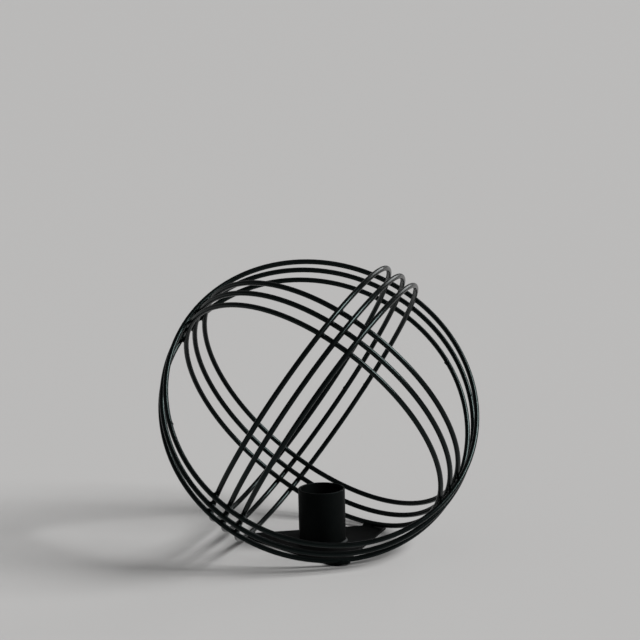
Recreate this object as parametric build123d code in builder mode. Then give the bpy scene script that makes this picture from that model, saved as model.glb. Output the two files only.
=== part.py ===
from build123d import *
from math import copysign, sqrt
import os

# A wire globe holder: nine wire hoops welded into an open globe, standing on a small
# three-cornered plate that carries a short upright tube, the socket of the holder.
# Millimetres, +Z up, the origin on the plate's underside below the globe's centre,
# the front (the lowest point of the outer hoops) towards -Y.

# The wire globe
globe_d = 150  # outside diameter over the largest hoop
wire_d = 2.4  # thickness of the wire over its coating
wire_gap = 0.1  # gap between two wires that cross, closed by their weld
outer_pitch = 8.8  # distance between the planes of neighbouring hoops in each set
middle_pitch = 7.5
inner_pitch = 7.5
middle_shift = 3.0  # how far the middle set sits off the globe's centre

# The socket tube
tube_d = 22
tube_wall = 1.0
tube_h = 25.5
tube_lip_r = 0.3  # rounding of the tube's mouth

# The base plate, whose corners reach as far out as the foremost strand that rests on it
plate_corner_r = 4.0
plate_t = 1.2
plate_edge_r = 0.25  # rounding of the plate's upper edge
plate_turn = -5  # degrees that the plate is turned against the hoops

# The welds
cross_weld_rise = 0.35  # how much wider than the wire a weld between two crossing wires is, each side
joint_weld_rise = 0.38  # height over the wire of the raised ring where a hoop's two ends meet
joint_weld_l = 2.0  # length of that ring along the wire
joint_weld_gap = 0.1  # gap between the ring and the wire inside it
base_weld_rise = 1.1  # how much wider than the wire a weld between a hoop and the plate is, each side
tube_weld_leg = 1.1  # the weld round the tube's foot

# Where each hoop's two ends meet, in degrees round the hoop, from the high hoop down
joint_turns = {
    "outer": (50, 224, 243),
    "middle": (135, 138, 132),
    "inner": (166, 164, 162),
}

os.makedirs("parts", exist_ok=True)

# The three sets of hoops. Their planes stand square to each other, as the faces of a
# cube do, and the globe's own frame has an axis square to each set. The globe stands
# on that cube's corner, so all three sets lean alike.
square = {"outer": Axis.X.direction, "middle": Axis.Z.direction, "inner": Axis.Y.direction}
pitch = {"outer": outer_pitch, "middle": middle_pitch, "inner": inner_pitch}
shift = {"outer": 0, "middle": middle_shift, "inner": 0}
level_shares = {"high": 1, "mid": 0, "low": -1}  # in pitches from the set's own middle

# How far each set's middle hoop reaches along the axes of the other two sets. The outer
# hoops pass outside the others. The middle hoops are slightly oval, so that they pass
# inside the outer ones and outside the inner ones.
wide = (globe_d - wire_d) / 2
narrow = wide - wire_d - wire_gap
reach = {
    "outer": {"middle": wide, "inner": wide},
    "middle": {"outer": wide, "inner": narrow},
    "inner": {"outer": narrow, "middle": narrow},
}


class Hoop:
    """One hoop: its offset from the globe's centre and its half lengths along two axes"""

    def __init__(self, group, name):
        self.group = group
        self.label = f"{group}_hoop_{name}"
        self.offset = shift[group] + level_shares[name] * pitch[group]
        self.centre = square[group] * self.offset
        self.half = {axis: sqrt(far**2 - self.offset**2) for axis, far in reach[group].items()}
        self.long_axis = max(self.half, key=self.half.get)
        self.short_axis = min(self.half, key=self.half.get)
        if self.long_axis == self.short_axis:
            self.long_axis, self.short_axis = self.half
        self.long_r = self.half[self.long_axis]
        self.short_r = self.half[self.short_axis]
        # four tangent arcs make the oval: their centres lie this far off its middle
        self.spread = (self.long_r - self.short_r) / (2 - sqrt(2))
        self.end_r = self.long_r - self.spread
        self.side_r = self.short_r + self.spread

    def plane(self):
        """The hoop's plane in the globe's own frame"""
        return Plane(origin=self.centre, x_dir=square[self.long_axis], z_dir=square[self.group])

    def lowest(self, up):
        """The lowest point of the wire's centre line"""
        along = -up.dot(square[self.long_axis]) * self.long_r
        across = -up.dot(square[self.short_axis]) * self.short_r
        size = sqrt(along**2 + across**2)
        return (
            self.centre
            + square[self.long_axis] * (self.long_r * along / size)
            + square[self.short_axis] * (self.short_r * across / size)
        )

    def far(self, axis, aside):
        """How far the wire reaches along one axis, at a step aside along the other"""
        if axis == self.long_axis:
            return self.spread + sqrt(self.end_r**2 - aside**2)
        return sqrt(self.side_r**2 - aside**2) - self.spread

    def seam(self, turn):
        """The plane at a turn round the hoop whose X points outwards and whose Y follows the wire"""
        out = Vector(1, 0, 0).rotate(Axis.Z, turn)
        if abs(out.X) > abs(out.Y):
            arc_centre = Vector(copysign(self.spread, out.X), 0, 0)
            arc_r = self.end_r
        else:
            arc_centre = Vector(0, -copysign(self.spread, out.Y), 0)
            arc_r = self.side_r
        flat = self.plane()
        middle = flat.from_local_coords(arc_centre + out * arc_r)
        x_dir = flat.x_dir * out.X + flat.y_dir * out.Y
        return Plane(origin=middle, x_dir=x_dir, z_dir=flat.z_dir)


hoops = {group: [Hoop(group, name) for name in level_shares] for group in square}

# The globe settles until the lowest hoop of each set touches the plate.
up = (square["outer"] + square["middle"] + square["inner"]).normalized()
for settle in range(6):
    low_points = [hoops[group][-1].lowest(up) for group in ("outer", "inner", "middle")]
    up = (low_points[1] - low_points[0]).cross(low_points[2] - low_points[0]).normalized()
depth = low_points[0].dot(up) - wire_d / 2 - wire_gap - plate_t
front = low_points[0] - up * low_points[0].dot(up)
ground = Plane(origin=up * depth, x_dir=up.cross(front), z_dir=up)


def on_ground(point):
    """A point of the globe's own frame, in the part's frame"""
    return ground.to_local_coords(point)


def stood(plane):
    """A plane of the globe's own frame, in the part's frame"""
    start = on_ground(plane.origin)
    side = on_ground(plane.origin + plane.x_dir) - start
    top = on_ground(plane.origin + plane.z_dir) - start
    return Plane(origin=start, x_dir=side, z_dir=top)


# The base plate: a three-cornered blank of sheet steel with rounded corners
seats = [on_ground(point) for point in low_points]
plate_reach = sqrt(seats[0].X ** 2 + seats[0].Y ** 2)
plate_top = Plane.XY.offset(plate_t)
with BuildPart() as base_plate:
    with BuildSketch(Plane.XY.rotated((0, 0, plate_turn))):
        RegularPolygon(plate_reach + plate_corner_r, 3, rotation=-90)
        fillet(vertices(), plate_corner_r)
    extrude(amount=plate_t)
    fillet(faces().sort_by(Axis.Z)[-1].edges(), plate_edge_r)
base_plate.part.label = "base_plate"
export_step(base_plate.part, "parts/base_plate.step")

# The socket: a piece of round tube, open at the top, closed below by the plate
with BuildPart() as socket_tube:
    with BuildSketch(plate_top):
        Circle(tube_d / 2)
        Circle(tube_d / 2 - tube_wall, mode=Mode.SUBTRACT)
    extrude(amount=tube_h)
    fillet(faces().sort_by(Axis.Z)[-1].edges(), tube_lip_r)
socket_tube.part.label = "socket_tube"
export_step(socket_tube.part, "parts/socket_tube.step")

# The weld round the tube's foot
with BuildPart() as tube_weld:
    with BuildSketch(Plane.XZ):
        with BuildLine():
            foot = (tube_d / 2, plate_t)
            outside = (tube_d / 2 + tube_weld_leg, plate_t)
            above = (tube_d / 2, plate_t + tube_weld_leg)
            Line(foot, outside)
            RadiusArc(outside, above, 2 * tube_weld_leg)
            Line(above, foot)
        make_face()
    revolve(axis=Axis.Z)
tube_weld.part.label = "tube_weld"
export_step(tube_weld.part, "parts/tube_weld.step")

# The nine hoops, each bent from one length of wire
wires = {}
for group, members in hoops.items():
    for hoop in members:
        with BuildPart() as ring:
            with BuildLine(stood(hoop.plane())) as bend:
                CenterArc((hoop.spread, 0), hoop.end_r, -45, 90)
                CenterArc((0, -hoop.spread), hoop.side_r, 45, 90)
                CenterArc((-hoop.spread, 0), hoop.end_r, 135, 90)
                CenterArc((0, hoop.spread), hoop.side_r, 225, 90)
            with BuildSketch(Plane(origin=bend.line @ 0, z_dir=bend.line % 0)):
                Circle(wire_d / 2)
            sweep(path=bend.line)
        ring.part.label = hoop.label
        export_step(ring.part, f"parts/{hoop.label}.step")
        wires[hoop.label] = ring.part


def crossings(first, second, third):
    """The points where the hoops of two sets cross, at both ends of the third set's axis"""
    points = []
    for one in hoops[first]:
        for other in hoops[second]:
            out = (one.far(third, other.offset) + other.far(third, one.offset)) / 2
            for end in (1, -1):
                place = one.centre + other.centre + square[third] * (end * out)
                points.append(on_ground(place))
    return points


# The welds at the crossings, one node for each pair of sets
for first, second, third in (
    ("outer", "middle", "inner"),
    ("outer", "inner", "middle"),
    ("middle", "inner", "outer"),
):
    with BuildPart() as cross_welds:
        with Locations(*crossings(first, second, third)):
            Sphere(wire_d / 2 + cross_weld_rise)
        for hoop in hoops[first] + hoops[second]:
            add(wires[hoop.label], mode=Mode.SUBTRACT)
    cross_welds.part.label = f"{first}_{second}_welds"
    export_step(cross_welds.part, f"parts/{cross_welds.part.label}.step")

# The raised ring where the two ends of each hoop are welded together
for group, members in hoops.items():
    for hoop, turn in zip(members, joint_turns[group]):
        seam = stood(hoop.seam(turn))
        with BuildPart() as joint_weld:
            with BuildSketch(seam):
                with BuildLine():
                    start = (wire_d / 2 + joint_weld_gap, -joint_weld_l / 2)
                    end = (wire_d / 2 + joint_weld_gap, joint_weld_l / 2)
                    Line(start, end)
                    ThreePointArc(end, (wire_d / 2 + joint_weld_rise, 0), start)
                make_face()
            revolve(axis=Axis(origin=seam.origin, direction=seam.y_dir))
        joint_weld.part.label = f"{hoop.label}_joint"
        export_step(joint_weld.part, f"parts/{joint_weld.part.label}.step")

# The welds that hold the lowest hoop of each set on the plate, just inside the wire
with BuildPart() as base_welds:
    for seat in seats:
        inwards = Vector(-seat.X, -seat.Y, 0).normalized() * (wire_d / 2)
        with Locations((seat.X + inwards.X, seat.Y + inwards.Y, plate_t)):
            Sphere(wire_d / 2 + base_weld_rise)
    split(bisect_by=plate_top, keep=Keep.TOP)
    for group in hoops:
        add(wires[hoops[group][-1].label], mode=Mode.SUBTRACT)
base_welds.part.label = "base_welds"
export_step(base_welds.part, "parts/base_welds.step")

# What the record needs to know
print("globe centre", on_ground(Vector(0, 0, 0)))
print("lowest points", seats)
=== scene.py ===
import math

import bmesh
import bpy
import numpy as np
from mathutils import Matrix, Vector, noise


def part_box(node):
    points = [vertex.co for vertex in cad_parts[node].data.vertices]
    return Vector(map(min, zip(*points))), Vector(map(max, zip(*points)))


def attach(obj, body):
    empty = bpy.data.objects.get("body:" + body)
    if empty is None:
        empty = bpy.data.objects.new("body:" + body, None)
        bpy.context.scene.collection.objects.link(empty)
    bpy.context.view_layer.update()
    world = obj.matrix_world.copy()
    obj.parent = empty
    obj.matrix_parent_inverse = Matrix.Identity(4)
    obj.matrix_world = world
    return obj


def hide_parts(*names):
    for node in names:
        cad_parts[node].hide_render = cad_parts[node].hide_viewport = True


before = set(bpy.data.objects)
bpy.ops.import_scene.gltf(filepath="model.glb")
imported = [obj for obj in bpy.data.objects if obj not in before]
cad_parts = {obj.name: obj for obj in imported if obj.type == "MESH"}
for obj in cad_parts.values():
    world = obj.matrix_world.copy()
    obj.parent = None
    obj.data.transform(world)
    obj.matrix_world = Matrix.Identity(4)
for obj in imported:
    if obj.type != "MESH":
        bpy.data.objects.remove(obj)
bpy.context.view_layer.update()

# The camera: a long lens a metre away, a little above the globe and to the left of its front.
# The globe's centre is seen low in the picture, so the camera looks over it.
photo_size = 640
lens_in_pixels = 2200
sensor_width = 36
globe_centre = Vector((0, 0, 0.06549))
globe_pixel = (319.5, 407.3)
globe_distance = 1.0256
camera_azimuth = math.radians(-14.66)
camera_tilt = math.radians(10.32)
camera_roll = math.radians(-1.34)

level_right = Vector((math.cos(camera_azimuth), math.sin(camera_azimuth), 0))
ahead = Vector((
    -math.sin(camera_azimuth) * math.cos(camera_tilt),
    math.cos(camera_azimuth) * math.cos(camera_tilt),
    -math.sin(camera_tilt),
))
level_down = ahead.cross(level_right)
picture_right = level_right * math.cos(camera_roll) - level_down * math.sin(camera_roll)
picture_down = level_right * math.sin(camera_roll) + level_down * math.cos(camera_roll)
aside = (globe_pixel[0] - photo_size / 2) / lens_in_pixels
below = (globe_pixel[1] - photo_size / 2) / lens_in_pixels
towards_globe = ahead + picture_right * aside + picture_down * below

camera_data = bpy.data.cameras.new("camera")
camera_data.sensor_width = sensor_width
camera_data.lens = sensor_width * lens_in_pixels / photo_size
camera = bpy.data.objects.new("camera", camera_data)
bpy.context.scene.collection.objects.link(camera)
camera.location = globe_centre - towards_globe * globe_distance
camera.rotation_euler = Matrix((picture_right, -picture_down, -ahead)).transposed().to_euler()
bpy.context.scene.camera = camera

# The floor: one plain pale surface without gloss, wide enough to fill the picture to its top edge
# and to stand behind the globe from every side.
floor_radius = 14
floor_sides = 96
floor_colour = (0.50, 0.495, 0.49, 1)
floor_roughness = 0.9
floor_specular = 0.1


def new_material(name, colour, roughness, specular):
    """A material with its shader, whose even values are set on the shader itself"""
    material = bpy.data.materials.new(name)
    material.use_nodes = True
    shader = material.node_tree.nodes["Principled BSDF"]
    shader.inputs["Base Color"].default_value = colour
    shader.inputs["Roughness"].default_value = roughness
    shader.inputs["Specular IOR Level"].default_value = specular
    return material, shader


def new_piece(name, made, material):
    """A smooth mesh object from a bmesh"""
    mesh = bpy.data.meshes.new(name)
    made.to_mesh(mesh)
    made.free()
    mesh.polygons.foreach_set("use_smooth", [True] * len(mesh.polygons))
    mesh.materials.append(material)
    piece = bpy.data.objects.new(name, mesh)
    bpy.context.scene.collection.objects.link(piece)
    return piece


pale_floor = new_material("pale_floor", floor_colour, floor_roughness, floor_specular)[0]
floor_disc = bmesh.new()
bmesh.ops.create_circle(floor_disc, cap_ends=True, segments=floor_sides, radius=floor_radius)
new_piece("floor", floor_disc, pale_floor)

# The light: a pale even surround, a broad key lamp from the right in front of the globe, and a
# weaker one from the right behind it. Each is a disc far away, so the floor is lit evenly.
surround_colour = (0.84, 0.84, 0.84, 1)
surround_strength = 0.18
lamps = {
    "key_lamp": {"from": (0.708, -0.345, 0.616), "strength": 4.0, "spread": 28},
    "back_lamp": {"from": (0.698, 0.629, 0.342), "strength": 0.5, "spread": 28},
}

world = bpy.data.worlds.new("surround")
world.use_nodes = True
world.node_tree.nodes["Background"].inputs["Color"].default_value = surround_colour
world.node_tree.nodes["Background"].inputs["Strength"].default_value = surround_strength
bpy.context.scene.world = world
for name, lamp in lamps.items():
    lamp_data = bpy.data.lights.new(name, "SUN")
    lamp_data.energy = lamp["strength"]
    lamp_data.angle = math.radians(lamp["spread"])
    lamp_object = bpy.data.objects.new(name, lamp_data)
    lamp_object.rotation_euler = Vector(lamp["from"]).to_track_quat("Z", "Y").to_euler()
    bpy.context.scene.collection.objects.link(lamp_object)

bpy.context.scene.view_settings.view_transform = "Standard"

# The hoops: nine rings of drawn steel wire, each bent to a circle and butt-welded, then coated
# in black powder with the whole globe. The coat is a deep satin black with a faintly green sheen
# and a slight orange-peel surface.
hoop_sets = ("outer", "middle", "inner")
hoop_levels = ("high", "mid", "low")
hoop_names = [f"{hoop_set}_hoop_{level}" for hoop_set in hoop_sets for level in hoop_levels]
wire_r = 0.0012
hoop_black = (0.0009, 0.001, 0.001, 1)
hoop_roughness = 0.21
hoop_specular = 0.18
hoop_peel = 0.00003  # height of the soft waves in its coat
hoop_grain = 0.000008  # height of the fine grain on them
coat_sheen = (0.72, 1.0, 0.97, 1)  # tints what the coat mirrors
coat_glossier = 0.05  # how far the roughness falls in glossy patches
coat_duller = 0.06  # how far it rises in dull ones
coat_patch_width = 0.012
coat_darkest_share = 0.75  # of the colour, in dark specks
coat_palest_share = 1.45
coat_speck_width = 0.005
coat_peel_width = 0.0011
coat_grain_width = 0.00025
noise_middle = (0.3, 0.7)  # the range that most of a noise lies in


def powder_coat(name, colour, roughness, specular, peel, grain):
    """Baked black powder: gloss and colour that vary a little, soft waves and a fine grain"""
    material, shader = new_material(name, colour, roughness, specular)
    shader.inputs["Specular Tint"].default_value = coat_sheen
    nodes = material.node_tree.nodes
    link = material.node_tree.links.new
    place = nodes.new("ShaderNodeTexCoord").outputs["Object"]

    def noise_of(width, detail):
        """Noise whose features are about this many metres wide"""
        texture = nodes.new("ShaderNodeTexNoise")
        texture.inputs["Scale"].default_value = 1 / width
        texture.inputs["Detail"].default_value = detail
        link(place, texture.inputs["Vector"])
        return texture.outputs["Fac"]

    def spread(value, low, high):
        """The noise's middle range stretched between two values"""
        stretch = nodes.new("ShaderNodeMapRange")
        stretch.inputs["From Min"].default_value = noise_middle[0]
        stretch.inputs["From Max"].default_value = noise_middle[1]
        stretch.inputs["To Min"].default_value = low
        stretch.inputs["To Max"].default_value = high
        link(value, stretch.inputs["Value"])
        return stretch.outputs["Result"]

    def shade(share):
        """The coat's colour made darker or paler"""
        return [channel * share for channel in colour[:3]] + [1]

    def bump(height, width):
        """Unevenness of this height, whose features are about this wide"""
        node = nodes.new("ShaderNodeBump")
        node.inputs["Distance"].default_value = height
        link(noise_of(width, detail=2), node.inputs["Height"])
        return node

    patches = noise_of(coat_patch_width, detail=3)
    glossiest = roughness - coat_glossier
    dullest = roughness + coat_duller
    link(spread(patches, glossiest, dullest), shader.inputs["Roughness"])
    specks = nodes.new("ShaderNodeMix")
    specks.data_type = "RGBA"
    specks.inputs["A"].default_value = shade(coat_darkest_share)
    specks.inputs["B"].default_value = shade(coat_palest_share)
    link(spread(noise_of(coat_speck_width, detail=4), 0, 1), specks.inputs["Factor"])
    link(specks.outputs["Result"], shader.inputs["Base Color"])
    waves = bump(peel, coat_peel_width)
    grains = bump(grain, coat_grain_width)
    link(waves.outputs["Normal"], grains.inputs["Normal"])
    link(grains.outputs["Normal"], shader.inputs["Normal"])
    return material


def dress(node, material):
    """Gives a CAD node its finish"""
    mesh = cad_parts[node].data
    mesh.materials.clear()
    mesh.materials.append(material)


hoop_coat = powder_coat(
    "hoop_coat", hoop_black, hoop_roughness, hoop_specular, hoop_peel, hoop_grain
)
for node in hoop_names:
    dress(node, hoop_coat)

# The welds at the crossings: the wires are pressed together and spot-welded, which leaves a
# small fillet of metal in the corners between them. The powder has closed over each fillet.
weld_roughness = 0.32
weld_specular = 0.10
weld_peel = 0.00005
weld_grain = 0.000015
bead_cut = 4  # how often the ball of rays from a bead's middle is divided
bead_halvings = 18  # how often the reach of each ray is halved until it ends at the skin
bead_reach = 0.0024  # no bead reaches further from its middle
fillet_widths = (0.0010, 0.0017)  # narrowest and widest fillet between two wires
fillet_change = 0.011  # over about this distance the width changes
bead_sink = 0.00003  # how deep a bead's skin lies in the wire where its fillet ends
bead_rise = 0.00004  # unevenness of its skin
bead_rise_width = 0.0007
lump_width = 0.0036  # more than one weld's width, less than the gap to the next
wire_window = 0.0025  # length of wire that is looked at to find where the wire runs

weld_coat = powder_coat(
    "weld_coat", hoop_black, weld_roughness, weld_specular, weld_peel, weld_grain
)


def points_of(node):
    """The points of a CAD node's mesh"""
    return np.array([vertex.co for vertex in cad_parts[node].data.vertices])


hoop_points = {hoop: points_of(hoop) for hoop in hoop_names}


def lumps(node):
    """The middle of each separate lump of a CAD node"""
    points = points_of(node)
    middles = []
    while len(points):
        near = np.linalg.norm(points - points[0], axis=1) < lump_width
        middles.append((points[near].min(axis=0) + points[near].max(axis=0)) / 2)
        points = points[~near]
    return sorted(middles, key=tuple)


def wire_at(hoop, place):
    """The middle of a hoop's wire where it passes a place, the way it runs, and the way out"""
    points = hoop_points[hoop]
    centre = (points.min(axis=0) + points.max(axis=0)) / 2
    points = points - centre
    square = np.linalg.svd(points, full_matrices=False)[2][2]
    out = place - centre
    out -= square * out.dot(square)
    out /= np.linalg.norm(out)
    run = np.cross(square, out)
    near = (np.abs(points @ run) < wire_window) & (points @ out > 0)
    radii = (points @ out)[near]
    return centre + out * (radii.min() + radii.max()) / 2, run, out


def nearest_wire(hoops, place):
    """The wire that passes nearest to a place, of several hoops"""
    wires = [wire_at(hoop, place) for hoop in hoops]
    return min(wires, key=lambda wire: np.linalg.norm(wire[0] - place))


def wire_gap(places, wire):
    """Distance from each place to the skin of a wire, less than zero inside"""
    middle, run = wire[:2]
    offset = places - middle
    offset -= np.outer(offset @ run, run)
    return np.linalg.norm(offset, axis=1) - wire_r + bead_sink


def melted(first, second, width):
    """Two distances joined as two bodies are by a fillet of this width"""
    overlap = np.maximum(width - np.abs(first - second), 0) / width
    return np.minimum(first, second) - overlap**2 * width / 4


def uneven(place, ray):
    """A place on a weld's skin, moved in or out along a ray"""
    return place + ray * noise.noise(place / bead_rise_width) * bead_rise


def bead(middle, gap_to_skin):
    """A closed lump round a middle, out to where gap_to_skin is zero"""
    ball = bmesh.new()
    bmesh.ops.create_icosphere(ball, subdivisions=bead_cut, radius=1)
    rays = np.array([vertex.co for vertex in ball.verts])
    low = np.zeros(len(rays))
    high = np.full(len(rays), bead_reach)
    for halving in range(bead_halvings):
        reach = (low + high) / 2
        inside = gap_to_skin(middle + rays * reach[:, None]) < 0
        low = np.where(inside, reach, low)
        high = np.where(inside, high, reach)
    for vertex, ray, length in zip(ball.verts, rays, low):
        vertex.co = uneven(Vector(middle + ray * length), Vector(ray))
    return ball


def weld_piece(name, lumps_made, node):
    """One piece of welds from the bmeshes of its lumps, in the place of a CAD node"""
    whole = bmesh.new()
    for lump in lumps_made:
        mesh = bpy.data.meshes.new(name)
        lump.to_mesh(mesh)
        lump.free()
        whole.from_mesh(mesh)
        bpy.data.meshes.remove(mesh)
    piece = new_piece(name, whole, weld_coat)
    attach(piece, "root")
    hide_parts(node)


def crossing_bead(middle, first_set, second_set):
    """The metal between the two wires that cross at a place"""
    first = nearest_wire([hoop for hoop in hoop_names if hoop.startswith(first_set)], middle)
    second = nearest_wire([hoop for hoop in hoop_names if hoop.startswith(second_set)], middle)
    share = noise.noise(Vector(middle) / fillet_change) / 2 + 0.5
    width = fillet_widths[0] + (fillet_widths[1] - fillet_widths[0]) * share

    def gap_to_skin(places):
        return melted(wire_gap(places, first), wire_gap(places, second), width)

    return bead(middle, gap_to_skin)


for first_set, second_set in (("outer", "middle"), ("outer", "inner"), ("middle", "inner")):
    node = f"{first_set}_{second_set}_welds"
    beads = [crossing_bead(middle, first_set, second_set) for middle in lumps(node)]
    weld_piece(f"{first_set}_{second_set}_beads", beads, node)

# The hoops' butt welds: each hoop's two ends meet a little out of line, with a narrow ring of
# metal between them. One end stands proud on one side, which shows as a small step.
joint_half_length = 0.0021  # of the swelling at the ends of the wire
joint_step = 0.00032  # how far one end stands out of line
joint_upset = 0.00008  # how far the ring of metal stands proud
joint_ring_share = 0.12  # its width, as a share of the half length
joint_sink = 0.00009  # how deep the swelling ends inside the wire
joint_stations = 28
joint_sides = 48
joint_turns = {"outer_hoop_high": 3.0, "outer_hoop_mid": 0.2, "outer_hoop_low": 2.9}
joint_turn_change = 0.014  # over about this distance the turn of the other hoops' steps changes


def joint_bead(middle, run, out, turn):
    """Two wire ends that meet out of line: stations along the wire, each a round section"""
    across = np.cross(run, out)
    aside = math.cos(turn) * out + math.sin(turn) * across
    made = bmesh.new()
    rings = []
    for station in range(joint_stations + 1):
        share = 2 * station / joint_stations - 1
        step = 1 + share if share <= 0 else 0
        centre = middle + run * share * joint_half_length + aside * joint_step * step
        swell = joint_upset * math.exp(-((share / joint_ring_share) ** 2))
        radius = wire_r - joint_sink + (joint_sink + swell) * (1 - share**4)
        ring = []
        for side in range(joint_sides):
            angle = 2 * math.pi * side / joint_sides
            ray = Vector(math.cos(angle) * out + math.sin(angle) * across)
            ring.append(made.verts.new(uneven(Vector(centre) + ray * radius, ray)))
        rings.append(ring)
    for ring, following in zip(rings, rings[1:]):
        for side in range(joint_sides):
            beside = (side + 1) % joint_sides
            made.faces.new((ring[side], ring[beside], following[beside], following[side]))
    made.faces.new(list(reversed(rings[0])))
    made.faces.new(rings[-1])
    bmesh.ops.recalc_face_normals(made, faces=made.faces)
    return made


for hoop in hoop_names:
    low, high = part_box(f"{hoop}_joint")
    middle, run, out = wire_at(hoop, np.array((low + high) / 2))
    any_turn = 2 * math.pi * noise.noise(Vector(middle) / joint_turn_change)
    made = joint_bead(middle, run, out, joint_turns.get(hoop, any_turn))
    weld_piece(f"{hoop}_joint_bead", [made], f"{hoop}_joint")

# The base plate: a three-cornered blank cut from thin sheet steel, its corners rounded and its
# upper edge broken, which carries the whole holder. Its flat face is duller than the wire.
plate_black = (0.0022, 0.0022, 0.0022, 1)
plate_roughness = 0.50
plate_specular = 0.05
plate_peel = 0.00003
plate_grain = 0.00002

plate_coat = powder_coat(
    "plate_coat", plate_black, plate_roughness, plate_specular, plate_peel, plate_grain
)
dress("base_plate", plate_coat)

# The welds on the plate: a short bead beside each of the three lowest strands, where it lies on
# the plate's corner. The metal has run between the wire and the plate.
plate_bite = 0.0004  # how deep a bead goes into the plate
base_fillet = 0.0022
base_bead_half = 0.0021  # half length of a bead along its wire
base_end_slope = 0.5  # how fast its ends draw in towards its top

plate_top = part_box("base_plate")[1].z


def base_bead(seat):
    """The metal between the plate and the strand that lies over a seat"""
    wire = nearest_wire([f"{hoop_set}_hoop_low" for hoop_set in hoop_sets], seat)
    inwards = -np.array((seat[0], seat[1], 0)) / math.hypot(seat[0], seat[1])
    middle = np.array((*wire[0][:2], plate_top)) + inwards * wire_r / 2

    def gap_to_skin(places):
        over_plate = places[:, 2] - plate_top + bead_sink
        skin = melted(wire_gap(places, wire), over_plate, base_fillet)
        along = np.abs((places - wire[0]) @ wire[1])
        ends = along - base_bead_half + np.maximum(places[:, 2] - plate_top, 0) * base_end_slope
        under = plate_top - plate_bite - places[:, 2]
        return np.maximum(np.maximum(skin, ends), under)

    return bead(middle, gap_to_skin)


weld_piece("base_beads", [base_bead(seat) for seat in lumps("base_welds")], "base_welds")

# The socket: a short piece of steel tube, cut square, its mouth lightly deburred, standing on
# the middle of the plate. Its coat is duller than the wire's.
tube_black = (0.0012, 0.0012, 0.0012, 1)
tube_roughness = 0.55
tube_specular = 0.07
tube_peel = 0.00003
tube_grain = 0.00002

tube_coat = powder_coat(
    "tube_coat", tube_black, tube_roughness, tube_specular, tube_peel, tube_grain
)
dress("socket_tube", tube_coat)

# The weld round the tube's foot: one run of small overlapping puddles between the tube and the
# plate, a little uneven in width, laid by hand.
puddle_count = 58
puddle_stations = 6  # sections of the run in each puddle
puddle_rise = 0.00009  # of each puddle over the dip beside it
run_leg = 0.00098  # reach of the weld up the tube and out over the plate
run_uneven = 0.00010
run_waves = 2.3  # how often the width changes round the tube
run_flat_share = 0.2  # how far the middle of its face is drawn in, as a share of its reach
run_sides = 14
run_stations = puddle_count * puddle_stations

tube_r = (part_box("socket_tube")[1].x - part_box("socket_tube")[0].x) / 2


def tube_run():
    """The rippled ring of weld: sections round the tube, each a corner filled by a soft bulge"""
    inner = tube_r - bead_sink
    under = plate_top - bead_sink
    made = bmesh.new()
    sections = []
    for station in range(run_stations):
        around = 2 * math.pi * station / run_stations
        puddle = abs(math.sin(puddle_count * around / 2))
        heading = Vector((math.cos(around), math.sin(around), 0))
        uneven_leg = run_leg + run_uneven * noise.noise(heading * run_waves)
        leg = uneven_leg - puddle_rise * (1 - puddle)
        section = []
        for side in range(run_sides + 1):
            angle = math.pi / 2 * side / run_sides
            reach = leg * (1 - run_flat_share * math.sin(2 * angle))
            outwards = tube_r + reach * math.cos(angle)
            upwards = plate_top + reach * math.sin(angle)
            section.append(made.verts.new(heading * outwards + Vector((0, 0, upwards))))
        section.append(made.verts.new(heading * inner + Vector((0, 0, plate_top + leg))))
        section.append(made.verts.new(heading * inner + Vector((0, 0, under))))
        section.append(made.verts.new(heading * (tube_r + leg) + Vector((0, 0, under))))
        sections.append(section)
    for section, following in zip(sections, sections[1:] + sections[:1]):
        for corner in range(len(section)):
            beside = (corner + 1) % len(section)
            made.faces.new((section[corner], section[beside], following[beside], following[corner]))
    bmesh.ops.recalc_face_normals(made, faces=made.faces)
    return made


weld_piece("tube_run", [tube_run()], "tube_weld")
